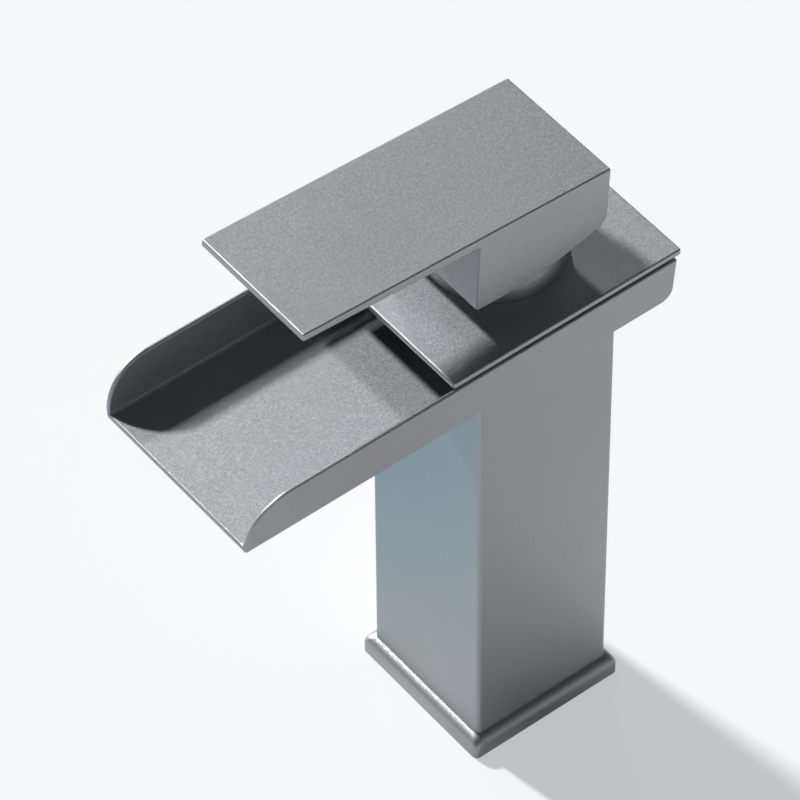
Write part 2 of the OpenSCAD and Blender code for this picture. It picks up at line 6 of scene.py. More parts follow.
import bmesh
import bpy
from bpy.props import FloatProperty, FloatVectorProperty, PointerProperty
from mathutils import Matrix, Vector


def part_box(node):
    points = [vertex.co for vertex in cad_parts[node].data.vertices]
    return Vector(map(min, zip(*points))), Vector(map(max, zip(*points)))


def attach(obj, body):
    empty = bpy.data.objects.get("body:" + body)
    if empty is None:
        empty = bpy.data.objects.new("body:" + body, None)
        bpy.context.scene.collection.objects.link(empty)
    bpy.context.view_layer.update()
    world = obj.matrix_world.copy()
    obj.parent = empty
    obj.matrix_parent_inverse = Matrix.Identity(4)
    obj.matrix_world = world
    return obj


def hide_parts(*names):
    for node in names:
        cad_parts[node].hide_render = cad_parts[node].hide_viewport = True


bl_info = {
    "name": "Waterfall Basin Faucet",
    "version": (1, 0, 0),
    "blender": (4, 5, 0),
    "location": "3D View > Sidebar > Faucet",
    "description": "Models the castings, fittings and finishes of a waterfall basin faucet",
    "category": "Add Mesh",
}

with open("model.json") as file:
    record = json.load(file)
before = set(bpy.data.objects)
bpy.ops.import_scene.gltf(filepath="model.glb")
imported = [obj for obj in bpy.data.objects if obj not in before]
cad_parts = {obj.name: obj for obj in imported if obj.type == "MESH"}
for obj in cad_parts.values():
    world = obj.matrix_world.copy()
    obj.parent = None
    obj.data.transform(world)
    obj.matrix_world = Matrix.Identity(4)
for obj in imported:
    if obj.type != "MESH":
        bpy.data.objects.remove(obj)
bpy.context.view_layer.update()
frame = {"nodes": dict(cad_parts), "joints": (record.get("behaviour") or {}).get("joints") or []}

MM = 0.001
X, Y, Z = Vector((1, 0, 0)), Vector((0, 1, 0)), Vector((0, 0, 1))
MERGE = 1e-6
MATERIALS = {"gunmetal": "satin coating", "rubber": "moulded rubber", "brass": "turned brass",
             "steel": "rolled steel", "plastic": "grained plastic",
             "ceramic": "lapped ceramic", "index": "index enamel"}
OVER = 1 * MM
AXIS_GAP = 0.01 * MM
RIM_BREAK, RIM_STEPS = 0.3 * MM, 2
ROUND_STEPS, BARREL_STEPS, BORE_STEPS, ARC_STEPS = 96, 64, 48, 24
CORNER_STEPS, EDGE_STEPS, FINE_STEPS = 8, 4, 3
DOME_STEPS, BELLY_STEPS = (28, 20), 14
SHARP_ANGLE = radians(28)
THREAD_SHAPE, SPARE_TURNS = ((0, 0.0), (0, 0.12), (1, 0.45), (1, 0.6), (0, 1.0)), 3
NUT_SLOPE = 0.58
FLAKES, FLAKE_TILT, FLAKE_TINT, FLAKE_SHINE = 3200, 0.11, 0.07, (0.47, 0.53)
CLOUDS, CLOUD_TINT, CLOUD_BODY = (28, 3), 0.03, (0.35, 0.65)
NOISE_BODY = (0.3, 0.7)
LINE_STRETCH, LINE_NOISE, LINE_BODY = (0.02, 0.02, 1.0), (2, 0.7), (0.4, 1.0)
LINE_SHINE, LINE_RELIEF = 0.16, (0.012 * MM, 0.6)
TARNISH, TARNISH_BODY, TARNISH_TONE, TARNISH_PART = (90, 4), (0.4, 0.7), 0.78, 0.4
FLOW, FLOW_DEPTH, DULL_ENAMEL = (500, 2), 0.25, (0.02, 0.02, 0.02)
ENAMEL_SHINE, ENAMEL_COAT, RING_SHADE = (0.16, 0.24), 0.6, 0.8
DECK_CLOUDS, DECK_TINT, DECK_HALF = (9, 4), 0.985, 6
HORIZON_FALL = 3.0
CLIP_START = 0.01
WALL_AT, WALL_SPREAD = (radians(85), radians(6)), (radians(26), radians(8))
LEFTWARD, FORWARD = 0.78, 0.62
# Painted reflection: the deck's glow for glossy rays, with a painted shadow near the axis and
# bright and bluish bands, by millimetres from the axis to the front left
PAINTED_DECK_REFLECTION = (
    (-210, (0.95, 0.95, 0.96)), (-180, (0.60, 0.61, 0.63)), (-150, (0.25, 0.25, 0.27)),
    (-120, (0.62, 0.63, 0.65)), (-95, (1.0, 1.0, 1.0)), (-65, (1.0, 1.0, 1.0)),
    (-42, (0.6, 0.61, 0.64)), (-22, (0.20, 0.21, 0.23)), (0, (0.6, 0.61, 0.64)),
    (20, (1.0, 1.0, 1.0)), (60, (0.88, 1.0, 1.0)), (91, (0.22, 0.90, 1.0)),
    (114, (0.0, 0.50, 0.80)), (150, (0.15, 0.5, 0.7)), (260, (0.85, 0.9, 0.95)))

PIVOT = Vector(next(j["pos_m"] for j in frame["joints"] if j["name"] == "lever_lift"))
PILLAR_LOW, PILLAR_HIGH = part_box("pillar")
TRAY_LOW, TRAY_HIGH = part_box("spout_tray")
COVER_LOW, COVER_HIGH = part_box("cover_plate")
FLANGE_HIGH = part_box("base_flange")[1]
GASKET_LOW, GASKET_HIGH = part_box("tray_gasket")
BUSHING_LOW, DOME_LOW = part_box("cold_inlet_bushing")[0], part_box("dome_collar")[0]
PLUG_LOW, PLUG_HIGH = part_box("index_plug")
STUD_LOW, STUD_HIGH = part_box("mounting_stud")
STUD_CENTRE, PLUG_CENTRE = (STUD_LOW + STUD_HIGH) / 2, (PLUG_LOW + PLUG_HIGH) / 2
NUT_LOW, NUT_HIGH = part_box("clamp_nut")


def length(name, description, default):
    """A property that holds a length."""
    return FloatProperty(name=name, description=description, default=default, min=0,
                         precision=5, subtype="DISTANCE", unit="LENGTH")


def angle(name, description, default):
    """A property that holds an angle."""
    return FloatProperty(name=name, description=description, default=default,
                         subtype="ANGLE", unit="ROTATION")


def strength(name, description, default):
    """A property that holds the strength of a light."""
    return FloatProperty(name=name, description=description, default=default, min=0)


def colour(name, description, default):
    """A property that holds a colour."""
    return FloatVectorProperty(name=name, description=description, default=default,
                               subtype="COLOR", min=0, max=1)


class ColumnSizes(bpy.types.PropertyGroup):
    """Sizes of the square pillar and the valve neck on it."""

    width: length("Width", "Width of the square pillar", 2 * PILLAR_HIGH.x)
    foot: length("Foot", "Height of the pillar's foot above the deck", PILLAR_LOW.z)
    top: length("Top", "Height of the pillar's shoulder under the tray", GASKET_LOW.z)
    wall: length("Wall", "Thickness of the pillar's walls", 3 * MM)
    edge: length("Upright edges", "Radius of the pillar's upright edges", 1.5 * MM)
    cavity_edge: length("Inside corners", "Radius of the hose space's corners", 1 * MM)
    seat: length("Seat block", "Height of the seat block's underside", BUSHING_LOW.z + 1.5 * MM)
    neck: length("Neck", "Radius of the valve neck", 21 * MM)
    neck_bore: length("Neck bore", "Radius of the bore in the valve neck", 19 * MM)
    neck_top: length("Neck top", "Height of the valve neck", PILLAR_HIGH.z)
    slot_width: length("Slot width", "Width of the water slot", 22 * MM)
    slot_height: length("Slot height", "Height of the water slot", 3.5 * MM)
    boss: length("Stud boss", "Radius of the boss that holds the stud", 6.5 * MM)
    boss_lift: length("Boss lift", "Height of the boss above the foot", 4.5 * MM)
    boss_height: length("Boss height", "Length of the boss", 22 * MM)


class TraySizes(bpy.types.PropertyGroup):
    """Sizes of the open spout tray."""

    floor_width: length("Floor width", "Outside width of the tray at its floor", 59 * MM)
    rim_width: length("Rim width", "Outside width of the tray at its rim", 2 * TRAY_HIGH.x)
    wall: length("Wall", "Thickness of the tray's walls", 1.4 * MM)
    floor: length("Floor", "Thickness of the tray's floor", 1.8 * MM)
    tip: length("Tip", "Radius of the side walls' rounded front end", 13.8 * MM)
    rear_corner: length("Rear corner", "Radius of the lower rear corner", 4 * MM)
    inner_bend: length("Inside bend", "Inside bend between floor and walls", 1.5 * MM)
    outer_bend: length("Outside bend", "Outside edge between floor and walls", 0.8 * MM)
    rim_edge: length("Rim edge", "Radius that rounds the rim's edges", 0.6 * MM)
    neck_hole: length("Neck hole", "Radius of the hole for the valve neck", 21.15 * MM)
    screw_hole: length("Screw holes", "Radius of the countersunk screws' holes", 2.95 * MM)
    screw_place: length("Screw places", "Screws' distance from both middle planes", 17.25 * MM)


class CoverSizes(bpy.types.PropertyGroup):
    """Sizes of the flat plate over the rear of the tray."""

    corner: length("Corners", "Radius of the plate's corners", 0.8 * MM)
    edge: length("Edges", "Radius of the plate's rolled edges", 0.6 * MM)
    hole: length("Hole", "Radius of the hole for the dome collar's nut", 18 * MM)


class DomeSizes(bpy.types.PropertyGroup):
    """Sizes of the spherical collar under the lever."""

    radius: length("Radius", "Outside radius of the dome", 19.4 * MM)
    wall: length("Wall", "Thickness of the dome's wall", 1.8 * MM)
    thread: length("Thread", "Radius of the thread that the dome is screwed on by", 17.05 * MM)
    mouth: length("Mouth", "Radius of the opening for the stem", 13 * MM)
    edge: length("Edges", "Radius that breaks the dome's edges", 0.35 * MM)


class LeverSizes(bpy.types.PropertyGroup):
    """Sizes of the cast lever, in its own frame about the pivot."""

    width: length("Width", "Width of the lever", 42 * MM)
    length: length("Length", "Length of the lever's top", 99.2 * MM)
    rear: length("Rear", "Distance from the pivot to the rear face", 19.8 * MM)
    top: length("Top", "Height of the top above the pivot", 32.2 * MM)
    tilt: angle("Tilt", "Rise of the top towards the front when shut", radians(2.9))
    blade: length("Blade", "Thickness of the blade at its tip", 2.4 * MM)
    blade_root: length("Blade root", "Thickness of the blade at the block", 3.2 * MM)
    block: length("Block", "Distance from the pivot to the block's front face", 22.8 * MM)
    low: length("Lowest point", "Height of the block's lowest point", 6 * MM)
    belly: length("Belly", "Radius of the block's curved underside", 100 * MM)
    belly_front: length("Belly place", "Place of the lowest point in front of the pivot", 17.5 * MM)
    corner: length("Rear corner", "Radius of the block's lower rear corner", 3 * MM)
    fillet: length("Root fillet", "Radius between the block's front face and the blade", 1.6 * MM)
    edge: length("Edges", "Radius that breaks the casting's edges", 0.6 * MM)
    hollow: length("Hollow", "Radius of the hollow over the dome", 20.1 * MM)
    socket: length("Socket", "Width of the socket for the stem", 8.2 * MM)
    socket_top: length("Socket top", "Height of the socket above the pivot", 27.6 * MM)
    screw_hole: length("Screw hole", "Radius of the grub screw's hole", 2.5 * MM)


class FlangeSizes(bpy.types.PropertyGroup):
    """Sizes of the flange round the pillar's foot."""

    opening: length("Opening", "Width of the opening for the pillar", 46.3 * MM)
    corner: length("Corners", "Radius of the flange's corners", 1.8 * MM)
    inner_corner: length("Inside corners", "Radius of the opening's corners", 1.5 * MM)
    roll: length("Rolled edge", "Radius of the rolled top edge", 3.6 * MM)


class ClampSizes(bpy.types.PropertyGroup):
    """Sizes of the stud through the deck and its nut."""

    pitch: length("Pitch", "Rise of the stud's thread in one turn", 1.25 * MM)
    depth: length("Thread depth", "Depth of the stud's thread", 0.7 * MM)
    tip: length("Tip", "Length of the stud's chamfered end", 1 * MM)
    chamfer: length("Nut chamfer", "How far the nut's corners are cut back", 0.9 * MM)
    hole: length("Nut hole", "Radius of the nut's hole", 4.05 * MM)


class PlugSizes(bpy.types.PropertyGroup):
    """Sizes of the index plug at the lever's rear."""

    edge: length("Edge", "Radius of the plug's rounded rim", 0.6 * MM)
    fit: length("Fit", "Clearance round the plug", 0.05 * MM)
    groove: length("Ring", "Width of the plain ring round the two colours", 0.8 * MM)


class FinishColours(bpy.types.PropertyGroup):
    """Colours of the finishes."""

    gunmetal: colour("Gunmetal", "Satin metallic grey of the castings", (0.392, 0.402, 0.42))
    rubber: colour("Rubber", "Gaskets and seals", (0.022, 0.022, 0.023))
    brass: colour("Brass", "Machined brass", (0.72, 0.52, 0.25))
    steel: colour("Steel", "Turned and rolled stainless steel", (0.56, 0.57, 0.58))
    plastic: colour("Plastic", "Moulded cartridge parts", (0.62, 0.62, 0.59))
    ceramic: colour("Ceramic", "Lapped ceramic discs", (0.84, 0.82, 0.77))
    hot: colour("Hot", "Hot side of the index plug", (0.42, 0.03, 0.025))
    cold: colour("Cold", "Cold side of the index plug", (0.02, 0.09, 0.36))
    deck: colour("Deck", "The pale floor", (0.86, 0.87, 0.88))
    deck_glow: colour("Deck's light", "The pale floor as the camera sees it", (0.97, 0.975, 0.985))


class ViewSettings(bpy.types.PropertyGroup):
    """Where the camera stands, and how the stage is lit."""

    azimuth: angle("Azimuth", "Turn of the camera about the upright axis", radians(52.048))
    elevation: angle("Elevation", "Height angle of the camera", radians(48.585))
    roll: angle("Roll", "Turn of the camera about its own axis", radians(-0.512))
    distance: length("Distance", "Distance from the camera to what it looks at", 1493.1 * MM)
    aim_front: length("Aim in front", "Place of the aim in front of the pillar's axis", 31.21 * MM)
    aim_height: length("Aim height", "Height of the aim above the deck", 132.35 * MM)
    lens: FloatProperty(name="Lens", description="Focal length of the camera",
                        default=256.55, subtype="DISTANCE_CAMERA", unit="CAMERA")
    sun: strength("Sun", "Strength of the key light", 4.6)
    sun_turn: angle("Sun's place", "Turn of the key light about the upright axis", radians(-80.9))
    sun_height: angle("Sun's height", "Height angle of the key light", radians(36))
    sun_size: angle("Sun's size", "Apparent size of the key light", radians(4.5))
    second: strength("Second light", "Strength of the light farther behind", 0.25)
    second_turn: angle("Second light's place", "Turn of the light farther behind", radians(-115))
    second_height: angle("Second light's height", "Height angle of that light", radians(39))
    horizon: strength("Horizon", "Brightness that the surroundings gain at eye level", 0.45)
    overhead: strength("Overhead", "Brightness of the surroundings overhead", 0.05)
    wall: strength("Wall", "Brightness that the sunlit wall behind at the right adds", 0.8)
    glow: FloatProperty(name="Deck glow", default=0.5, min=0, max=1, subtype="FACTOR",
                        description="How much of the deck's own shadow is lifted")


GROUPS = {"column": ColumnSizes, "tray": TraySizes, "cover": CoverSizes, "dome": DomeSizes,
          "lever": LeverSizes, "flange": FlangeSizes, "clamp": ClampSizes, "plug": PlugSizes,
          "finish": FinishColours, "view": ViewSettings}


class FaucetSettings(bpy.types.PropertyGroup):
    """All that a user would change on the faucet."""

    __annotations__ = {
        key: PointerProperty(name=key.capitalize(), description=group.__doc__, type=group)
        for key, group in GROUPS.items()}


def sum_of(operation, flipped=False):
    """A method that adds the Math node of one operation on two values or wires."""

    def method(self, other):
        pair = (other, self) if flipped else (self, other)
        return self.finish.node("ShaderNodeMath", dict(enumerate(pair)), operation=operation)

    return method


class Wire:
    """An output socket that can be used in a sum."""

    def __init__(self, finish, socket):
        self.finish = finish
        self.socket = socket

    __add__, __radd__ = sum_of("ADD"), sum_of("ADD", True)
    __sub__, __rsub__ = sum_of("SUBTRACT"), sum_of("SUBTRACT", True)
    __mul__, __rmul__ = sum_of("MULTIPLY"), sum_of("MULTIPLY", True)
    __pow__, __gt__ = sum_of("POWER"), sum_of("GREATER_THAN")


class Finish:
    """A material or world, and the nodes that make it."""

    def __init__(self, owner):
        owner.use_nodes = True
        self.owner = owner
        self.tree = owner.node_tree
        self.tree.nodes.clear()

    def node(self, kind, values=None, output=None, **settings):
        """Adds a node: its settings first, then the values or links of its sockets."""
        made = self.tree.nodes.new(kind)
        for name, value in settings.items():
            if name == "stops":
                ramp = made.color_ramp
                while len(ramp.elements) < len(value):
                    ramp.elements.new(1)
                for element, (place, shade) in zip(ramp.elements, value):
                    element.position = place
                    element.color = (*shade, 1)
            else:
                setattr(made, name, value)
        for name, value in (values or {}).items():
            socket = self.socket(made.inputs, name)
            if isinstance(value, Wire):
                self.tree.links.new(value.socket, socket)
            elif socket.type == "RGBA":
                socket.default_value = (*value, 1)
            else:
                socket.default_value = value
        return Wire(self, self.socket(made.outputs, output)) if len(made.outputs) else None

    def socket(self, sockets, name):
        """The shown socket of that name or place, or the first one."""
        if isinstance(name, int):
            return sockets[name]
        return next(s for s in sockets if s.enabled and name in (None, s.name))

    def place(self, name="Object"):
        """Where a point lies on the piece."""
        return self.node("ShaderNodeTexCoord", output=name)

    def axis(self, letter, place):
        """One coordinate of a place."""
        return self.node("ShaderNodeSeparateXYZ", {"Vector": place}, letter)

    def noise(self, place, scale, detail=2, roughness=0.5):
        """Soft noise, with its scale as the number of grains in a metre."""
        return self.node("ShaderNodeTexNoise", {
            "Vector": place, "Scale": scale, "Detail": detail, "Roughness": roughness}, "Fac")

    def vector(self, operation, values, output=None):
        """The Vector Math node of one operation."""
        return self.node("ShaderNodeVectorMath", dict(enumerate(values)), output,
                         operation=operation)

    def tilted(self, cell, amount):
        """The surface's normal, tilted a little another way in each cell."""
        lean = self.vector("SUBTRACT", (cell, (0.5, 0.5, 0.5)))
        normal = self.node("ShaderNodeNewGeometry", output="Normal")
        return self.vector("NORMALIZE", (
            self.vector("MULTIPLY_ADD", (lean, (amount, amount, amount), normal)),))

    def between(self, value, low, high, to_low=0, to_high=1, curve="LINEAR"):
        """The value's place between two limits, spread over another range."""
        return self.node("ShaderNodeMapRange", {
            "Value": value, "From Min": low, "From Max": high, "To Min": to_low,
            "To Max": to_high}, "Result", clamp=True, interpolation_type=curve)

    def mix(self, factor, first, second):
        """One colour over another."""
        return self.node("ShaderNodeMix", {"Factor": factor, "A": first, "B": second},
                         "Result", data_type="RGBA")

    def about(self, value, base, part):
        """A colour that a value makes darker or lighter by a part."""
        return self.mix(value, scaled(base, 1 - part), scaled(base, 1 + part))

    def bump(self, height, depth, relief):
        """Relief of a depth in metres."""
        return self.node("ShaderNodeBump",
                         {"Height": height, "Distance": depth, "Strength": relief})

    def surface(self, values):
        """The main shader, joined to the output."""
        self.output(self.node("ShaderNodeBsdfPrincipled", values))

    def output(self, shader):
        """Joins a shader to the material's output."""
        self.node("ShaderNodeOutputMaterial", {"Surface": shader})


def scaled(shade, factor):
    """A colour made lighter or darker."""
    return tuple(min(1.0, channel * factor) for channel in shade)


def gunmetal(colours):
    """Satin metallic coating: fine flakes, each with a tilt of its own."""
    made = Finish(bpy.data.materials.new(MATERIALS["gunmetal"]))
    place = made.place()
    flake = made.node("ShaderNodeTexVoronoi", {"Vector": place, "Scale": FLAKES}, "Color")
    value = made.node("ShaderNodeSeparateColor", {"Color": flake}, "Red")
    cloud = made.between(made.noise(place, *CLOUDS), *CLOUD_BODY)
    base = colours.gunmetal
    made.surface({
        "Base Color": made.mix(0.5, made.about(cloud, base, CLOUD_TINT),
                               made.about(value, base, FLAKE_TINT)),
        "Metallic": 1.0,
        "Roughness": made.between(value, 0.0, 1.0, *FLAKE_SHINE),
        "Normal": made.tilted(flake, FLAKE_TILT),
    })


def plain_skin(slot, colours, cloud, clouded, tone, grain, rough, relief=None, coat=0.0):
    """A skin that one noise shades and a finer one roughens."""
    made = Finish(bpy.data.materials.new(MATERIALS[slot]))
    place = made.place()
    tint, fine = made.noise(place, *cloud), made.noise(place, *grain)
    base = getattr(colours, slot)
    values = {
        "Base Color": made.mix(made.between(tint, *clouded), base, scaled(base, tone)),
        "Roughness": made.between(fine, *NOISE_BODY, *rough),
        "Coat Weight": coat,
    }
    if relief:
        values["Normal"] = made.bump(fine, *relief)
    made.surface(values)


def turned_metal(slot, colours, roughness, lines):
    """Metal from a lathe, with fine lines round its axis."""
    made = Finish(bpy.data.materials.new(MATERIALS[slot]))
    place = made.place()
    across = made.node("ShaderNodeMapping", {"Vector": place, "Scale": LINE_STRETCH})
    line, tarnish = made.noise(across, lines, *LINE_NOISE), made.noise(place, *TARNISH)
    base = getattr(colours, slot)
    made.surface({
        "Base Color": made.mix(made.between(tarnish, *TARNISH_BODY), base,
                               scaled(base, TARNISH_TONE)),
        "Metallic": 1.0,
        "Roughness": made.between(line + TARNISH_PART * tarnish, *LINE_BODY, roughness,
                                  roughness + LINE_SHINE),
        "Normal": made.bump(line, *LINE_RELIEF),
    })


def index_gloss(colours, sizes):
    """Gloss enamel: hot on the left and cold on the right, in a plain ring."""
    made = Finish(bpy.data.materials.new(MATERIALS["index"]))
    place = made.place()
    half = (PLUG_HIGH.x - PLUG_LOW.x) / 2 - sizes.groove
    across = made.axis("X", place)
    up = made.axis("Z", place) - PLUG_CENTRE.z
    reach = (across * across + up * up) ** 0.5
    flow = made.noise(place, *FLOW)
    sides = made.mix(across > 0.0, colours.cold, colours.hot)
    enamel = made.mix(made.between(flow, *NOISE_BODY, 0, FLOW_DEPTH), sides, DULL_ENAMEL)
    made.surface({
        "Base Color": made.mix(reach > half, enamel, scaled(colours.steel, RING_SHADE)),
        "Roughness": made.between(flow, *NOISE_BODY, *ENAMEL_SHINE),
        "Coat Weight": ENAMEL_COAT,
    })


def deck_finish(colours, view):
    """Pale stone that glows: it keeps the shadow, paints reflections into the metal for glossy
    rays, and is seen through from below.
    """
    made = Finish(bpy.data.materials.new("deck"))
    place = made.place()
    cloud = made.between(made.noise(place, *DECK_CLOUDS), *NOISE_BODY)
    stone = made.node("ShaderNodeBsdfDiffuse", {
        "Color": made.mix(cloud, colours.deck, scaled(colours.deck, DECK_TINT))})
    seen, mirrored, through = (
        made.node("ShaderNodeLightPath", output=f"Is {kind} Ray")
        for kind in ("Camera", "Glossy", "Transmission"))
    along = -LEFTWARD * made.axis("X", place) - FORWARD * made.axis("Y", place)
    start, end = PAINTED_DECK_REFLECTION[0][0], PAINTED_DECK_REFLECTION[-1][0]
    # Painted reflection: glossy rays see the deck glow with these bands, which darken the metal
    # where the deck's shadow lies and tint it blue farther out
    painted_reflection = made.node(
        "ShaderNodeValToRGB", {"Fac": made.between(along, start * MM, end * MM)}, "Color",
        stops=[((reach - start) / (end - start), shade) for reach, shade in PAINTED_DECK_REFLECTION])
    # The deck glows evenly for camera and transmission rays, and with the painted reflection bands
    # for glossy rays
    glow = made.node("ShaderNodeEmission", {
        "Color": made.mix(mirrored, colours.deck_glow, painted_reflection)})
    lifted = made.node("ShaderNodeMixShader",
                       {0: (seen + mirrored + through) * view.glow, 1: stone, 2: glow})
    clear = made.node("ShaderNodeBsdfTransparent")
    behind = made.node("ShaderNodeNewGeometry", output="Backfacing")
    made.output(made.node("ShaderNodeMixShader", {0: behind, 1: lifted, 2: clear}))
    return made.owner


def everything(bm):
    """All vertices, edges and faces."""
    return list(bm.verts) + list(bm.edges) + list(bm.faces)


def verts_of(parts):
    """The vertices among some parts."""
    return [part for part in parts if isinstance(part, bmesh.types.BMVert)]


def shift(bm, offset, verts=None):
    """Moves some vertices, or all."""
    bmesh.ops.translate(bm, verts=bm.verts if verts is None else verts, vec=offset)


def turn(bm, amount, axis):
    """Turns everything about an axis through the origin."""
    bmesh.ops.rotate(bm, verts=bm.verts, cent=(0, 0, 0),
                     matrix=Matrix.Rotation(amount, 3, axis))


def widen(bm, edges, factor):
    """Scales level edges about the upright axis."""
    bmesh.ops.scale(bm, verts=list({v for e in edges for v in e.verts}),
                    vec=(factor, factor, 1))


def polygon(bm, points):
    """A face through a few points."""
    return bm.faces.new([bm.verts.new(point) for point in points])


def arc_face(bm, start, centre, axis, sweep, steps, points):
    """A face inside an arc and more points, and the vertices at those points."""
    first = bm.verts.new(start)
    arc = bmesh.ops.spin(bm, geom=[first], cent=centre, axis=axis, angle=sweep,
                         steps=steps)["geom_last"]
    rest = [bm.verts.new(point) for point in points]
    for pair in zip([*verts_of(arc), *rest], [*rest, first]):
        bm.edges.new(pair)
    outline = [e for e in bm.edges if e.is_wire]
    return bmesh.ops.contextual_create(bm, geom=outline)["faces"][0], rest


def round_corner(bm, corner, radius, steps=CORNER_STEPS):
    """Rounds one corner of a flat face."""
    bmesh.ops.bevel(bm, geom=[corner], offset=radius, affect="VERTICES", segments=steps,
                    profile=0.5, material=-1, clamp_overlap=True)


def plan(bm, width, depth, radius, z):
    """A level rectangle about the upright axis with four rounded corners."""
    x, y = width / 2, depth / 2
    face = polygon(bm, [(-x, -y, z), (x, -y, z), (x, y, z), (-x, y, z)])
    for corner in list(face.verts):
        round_corner(bm, corner, radius)
    return max((f for f in bm.faces if abs(f.calc_center_median().z - z) < MERGE),
               key=lambda f: f.calc_area())


def square(bm, width, radius, z):
    """The edges alone of a level square with rounded corners."""
    face = plan(bm, width, width, radius, z)
    edges = list(face.edges)
    bmesh.ops.delete(bm, geom=[face], context="FACES_ONLY")
    return edges


def raised(bm, edges, height):
    """Extrudes edges upwards and gives the new edges."""
    made = bmesh.ops.extrude_edge_only(bm, edges=edges)["geom"]
    shift(bm, (0, 0, height), verts_of(made))
    return [part for part in made if isinstance(part, bmesh.types.BMEdge)]


def extruded(bm, face, offset):
    """Extrudes a face into a closed block."""
    shift(bm, offset, verts_of(bmesh.ops.extrude_face_region(bm, geom=[face])["geom"]))


def round_edges(bm, edges, radius, steps=EDGE_STEPS):
    """Rounds edges with a radius."""
    bmesh.ops.bevel(bm, geom=edges, offset=radius, offset_type="OFFSET", affect="EDGES",
                    segments=steps, profile=0.5, material=-1, clamp_overlap=False)


def soften(bm, radius, steps=EDGE_STEPS):
    """Rounds all edges where two faces meet at a sharp angle."""
    tidy(bm)
    sharp = [e for e in bm.edges
             if len(e.link_faces) == 2 and e.calc_face_angle() > SHARP_ANGLE]
    round_edges(bm, sharp, radius, steps)


def spun(bm, profile):
    """Turns a closed profile of edges once round the upright axis."""
    bmesh.ops.spin(bm, geom=profile, cent=(0, 0, 0), axis=Z, angle=2 * pi,
                   steps=ROUND_STEPS, use_merge=True)


def profile_loop(bm, points):
    """A closed run of edges through (radius, height) points on the plane across Y."""
    verts = [bm.verts.new((r, 0, z)) for r, z in points]
    return [bm.edges.new((verts[i - 1], verts[i])) for i in range(len(verts))]


def join(bm, other):
    """Adds another bmesh's shape."""
    mesh = bpy.data.meshes.new("joined")
    other.to_mesh(mesh)
    other.free()
    bm.from_mesh(mesh)
    bpy.data.meshes.remove(mesh)


def tidy(bm):
    """Merges doubles and turns every face outwards."""
    bmesh.ops.remove_doubles(bm, verts=bm.verts, dist=MERGE)
    bmesh.ops.recalc_face_normals(bm, faces=bm.faces)


def mesh_from(bm, name):
    """A mesh with smooth faces and sharp edges, from a bmesh."""
    mesh = bpy.data.meshes.new(name)
    bm.to_mesh(mesh)
    bm.free()
    mesh.shade_smooth()
    mesh.set_sharp_from_angle(angle=SHARP_ANGLE)
    return mesh


def new_object(name, data):
    """An object at the origin, in the scene."""
    made = bpy.data.objects.new(name, data)
    bpy.context.scene.collection.objects.link(made)
    return made


def built(bm, name):
    """An object from a bmesh."""
    return new_object(name, mesh_from(bm, name))


def cut(piece, cutters, operation="DIFFERENCE"):
    """Cuts closed shapes out of a piece and keeps the result as its mesh."""
    for bm in cutters:
        tidy(bm)
        cutter = built(bm, "cutter")
        step = piece.modifiers.new("Cut", "BOOLEAN")
        step.operation = operation
        step.solver = "EXACT"
        step.object = cutter
        bpy.context.view_layer.update()
        graph = bpy.context.evaluated_depsgraph_get()
        result = bpy.data.meshes.new_from_object(piece.evaluated_get(graph))
        piece.modifiers.clear()
        piece.data = result
        bpy.data.objects.remove(cutter)
    piece.data.shade_smooth()
    piece.data.set_sharp_from_angle(angle=SHARP_ANGLE)


def dress(piece, body, slot, node):
    """Gives a finished piece its finish and its body, and hides the node that it stands for."""
    if not piece.data.polygons:
        raise RuntimeError(f"{piece.name} has no faces")
    piece.data.materials.clear()
    piece.data.materials.append(bpy.data.materials[MATERIALS[slot]])
    even = piece.modifiers.new("Even shading", "WEIGHTED_NORMAL")
    even.keep_sharp = True
    even.weight = 100
    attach(piece, body)
    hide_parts(node)


def cylinder(radius, low, high, x=0.0, y=0.0, steps=BARREL_STEPS):
    """A closed upright cylinder, as a bmesh."""
    bm = bmesh.new()
    bmesh.ops.create_cone(bm, cap_ends=True, segments=steps, radius1=radius, radius2=radius,
                          depth=high - low)
    shift(bm, (x, y, (low + high) / 2))
    return bm


def level_cylinder(radius, front, rear, height, steps):
    """A closed cylinder along Y, as a bmesh."""
    bm = cylinder(radius, front, rear, steps=steps)
    turn(bm, -pi / 2, "X")
    shift(bm, (0, 0, height))
    return bm


def block(low, high):
    """A closed block between two corners, as a bmesh."""
    bm = bmesh.new()
    bmesh.ops.create_cube(bm, size=1)
    low, high = Vector(low), Vector(high)
    bmesh.ops.scale(bm, verts=bm.verts, vec=high - low)
    shift(bm, (low + high) / 2)
    return bm


class PieceOperator:
    """What every operator here has in common."""

    bl_options = {"REGISTER", "UNDO"}


